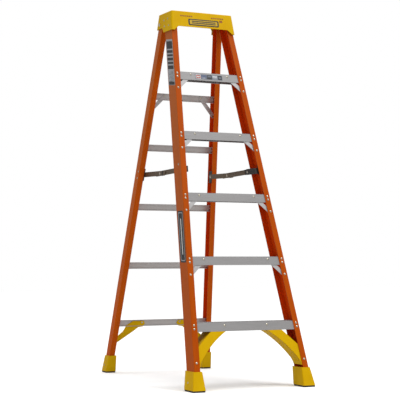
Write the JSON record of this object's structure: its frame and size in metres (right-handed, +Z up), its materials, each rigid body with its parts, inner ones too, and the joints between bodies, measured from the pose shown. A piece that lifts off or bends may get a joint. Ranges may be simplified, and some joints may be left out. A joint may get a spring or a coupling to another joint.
{
  "type": "folding step ladder",
  "caption": "Self-supporting A-frame step ladder with glass-fibre rails, ribbed treads, a moulded cap and feet, and folding spreaders.",
  "frame": {"origin": "centre of the bounding box at floor level, on the plane that the four rubber pads stand on", "axes": "+Z up, +X across the ladder, steps climbed from the -Y side, rear section on the +Y side"},
  "size_m": [0.6078, 1.096, 1.757],
  "materials": {
    "rail_fibreglass": "pultruded glass-fibre composite, orange, satin",
    "moulded_yellow": "moulded plastic, yellow, fine grain",
    "tread_aluminium": "mill finish, ribbed",
    "bar_aluminium": "mill finish",
    "brace_strip": "mill finish strip",
    "rivet_metal": "zinc plated, slightly yellow",
    "pin_steel": "zinc plated",
    "bolt_steel": "zinc plated",
    "spreader_steel": "dark plated steel, satin",
    "bracket_steel": "dark coated steel",
    "pad_rubber": "moulded rubber"
  },
  "bodies": {
    "front_section": {"cap_rivets": "rivet_metal", "front_boot_left": "moulded_yellow", "front_boot_right": "moulded_yellow", "front_pad_left": "pad_rubber", "front_pad_right": "pad_rubber", "front_rail_left": "rail_fibreglass", "front_rail_right": "rail_fibreglass", "front_spreader_bracket_left": "bracket_steel", "front_spreader_bracket_right": "bracket_steel", "front_spreader_pins": "pin_steel", "hinge_bolts": "bolt_steel", "hinge_nuts": "bolt_steel", "knee_brace_2_left": "brace_strip", "knee_brace_2_right": "brace_strip", "knee_brace_3_left": "brace_strip", "knee_brace_3_right": "brace_strip", "knee_brace_4_left": "brace_strip", "knee_brace_4_right": "brace_strip", "knee_brace_5_left": "brace_strip", "knee_brace_5_right": "brace_strip", "knee_brace_rivets": "rivet_metal", "lower_front_brace_left": "moulded_yellow", "lower_front_brace_right": "moulded_yellow", "lower_front_rivets": "rivet_metal", "step_1": "tread_aluminium", "step_2": "tread_aluminium", "step_3": "tread_aluminium", "step_4": "tread_aluminium", "step_5": "tread_aluminium", "step_rivets": "rivet_metal", "top_cap": "moulded_yellow"},
    "rear_section": {"lower_rear_brace_left": "moulded_yellow", "lower_rear_brace_right": "moulded_yellow", "rear_bar_1": "bar_aluminium", "rear_bar_2": "bar_aluminium", "rear_bar_3": "bar_aluminium", "rear_bar_4": "bar_aluminium", "rear_bar_5": "bar_aluminium", "rear_boot_left": "moulded_yellow", "rear_boot_right": "moulded_yellow", "rear_knee_brace_left": "brace_strip", "rear_knee_brace_right": "brace_strip", "rear_pad_left": "pad_rubber", "rear_pad_right": "pad_rubber", "rear_rail_left": "rail_fibreglass", "rear_rail_right": "rail_fibreglass", "rear_section_rivets": "rivet_metal", "rear_spreader_bracket_left": "bracket_steel", "rear_spreader_bracket_right": "bracket_steel", "rear_spreader_pins": "pin_steel"},
    "spreader_front_left": {"spreader_front_arm_left": "spreader_steel", "spreader_front_knuckle_left": "pin_steel"},
    "spreader_rear_left": {"spreader_rear_arm_left": "spreader_steel", "spreader_rear_knuckle_left": "pin_steel"},
    "spreader_front_right": {"spreader_front_arm_right": "spreader_steel", "spreader_front_knuckle_right": "pin_steel"},
    "spreader_rear_right": {"spreader_rear_arm_right": "spreader_steel", "spreader_rear_knuckle_right": "pin_steel"}
  },
  "joints": [
    {"name": "fold", "type": "hinge", "parent": "front_section", "child": "rear_section", "pos_m": [0, 0.122, 1.706], "axis": [-1, 0, 0], "range_deg": [0, 29]},
    {"name": "spreader_front_left_pivot", "type": "hinge", "parent": "front_section", "child": "spreader_front_left", "pos_m": [-0.1775, -0.141, 0.985], "axis": [0.997, 0, -0.0768], "range_deg": [0, 73.6]},
    {"name": "spreader_rear_left_pivot", "type": "hinge", "parent": "rear_section", "child": "spreader_rear_left", "pos_m": [-0.1805, 0.266, 0.985], "axis": [-0.9972, 0, 0.0748], "range_deg": [0, 70.7]},
    {"name": "spreader_front_right_pivot", "type": "hinge", "parent": "front_section", "child": "spreader_front_right", "pos_m": [0.1775, -0.141, 0.985], "axis": [0.997, 0, 0.0768], "range_deg": [0, 73.6]},
    {"name": "spreader_rear_right_pivot", "type": "hinge", "parent": "rear_section", "child": "spreader_rear_right", "pos_m": [0.1805, 0.266, 0.985], "axis": [-0.9972, 0, -0.0748], "range_deg": [0, 70.7]}
  ],
  "couplings": [
    {"joint": "spreader_front_left_pivot", "follows": "fold", "ratio": 2.5335},
    {"joint": "spreader_rear_left_pivot", "follows": "fold", "ratio": 2.433},
    {"joint": "spreader_front_right_pivot", "follows": "fold", "ratio": 2.5335},
    {"joint": "spreader_rear_right_pivot", "follows": "fold", "ratio": 2.433}
  ]
}
